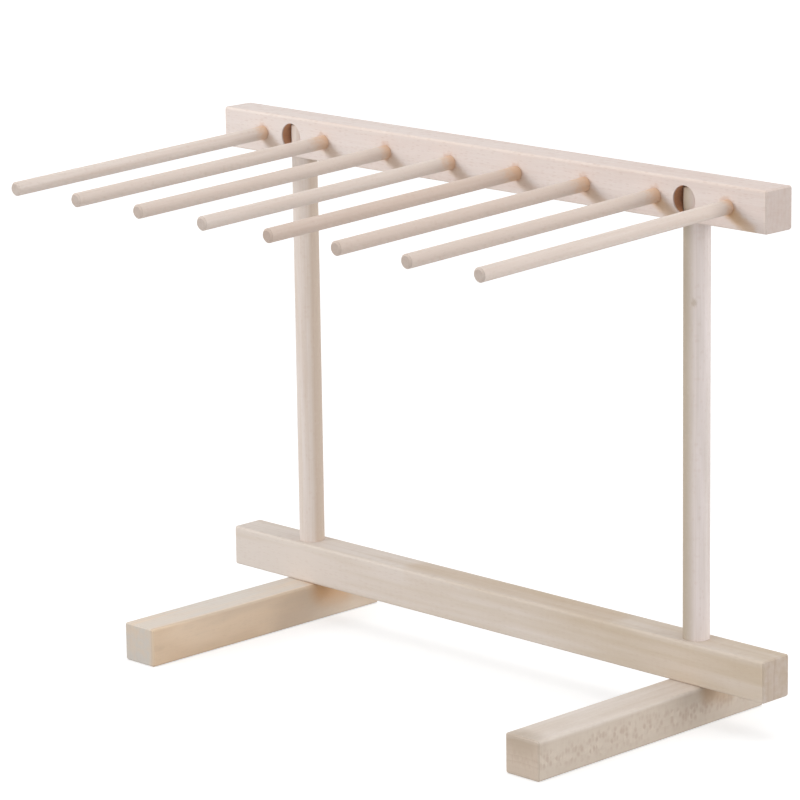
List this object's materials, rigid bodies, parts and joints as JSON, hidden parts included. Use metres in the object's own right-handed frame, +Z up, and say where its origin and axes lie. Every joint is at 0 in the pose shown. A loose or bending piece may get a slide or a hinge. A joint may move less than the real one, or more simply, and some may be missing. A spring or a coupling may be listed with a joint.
{
  "type": "pasta drying rack",
  "caption": "Freestanding beech pasta drying rack: a row of round rods on a bar that lifts off two round posts on a rail and feet.",
  "frame": {"origin": "on the floor, in the middle of the rack's footprint from rod tips to foot backs", "axes": "+X along the bar to the right, -Y the way the rods point, +Z up"},
  "size_m": [0.42, 0.2436, 0.3045],
  "materials": {
    "beech_bar": "planed unfinished beech, pale",
    "beech_dowel": "turned unfinished beech dowel, pale",
    "screw_steel": "zinc plated"
  },
  "bodies": {
    "stand": {"base_rail": "beech_bar", "post_left": "beech_dowel", "post_right": "beech_dowel", "foot_left": "beech_bar", "foot_right": "beech_bar", "foot_screw_left": "screw_steel", "foot_screw_right": "screw_steel"},
    "hanger": {"top_bar": "beech_bar", "drying_rod_1": "beech_dowel", "drying_rod_2": "beech_dowel", "drying_rod_3": "beech_dowel", "drying_rod_4": "beech_dowel", "drying_rod_5": "beech_dowel", "drying_rod_6": "beech_dowel", "drying_rod_7": "beech_dowel", "drying_rod_8": "beech_dowel"}
  },
  "joints": [
    {"name": "bar_lift", "type": "slide", "parent": "stand", "child": "hanger", "axis": [0, 0, 1], "range_m": [0, 0.04]}
  ]
}
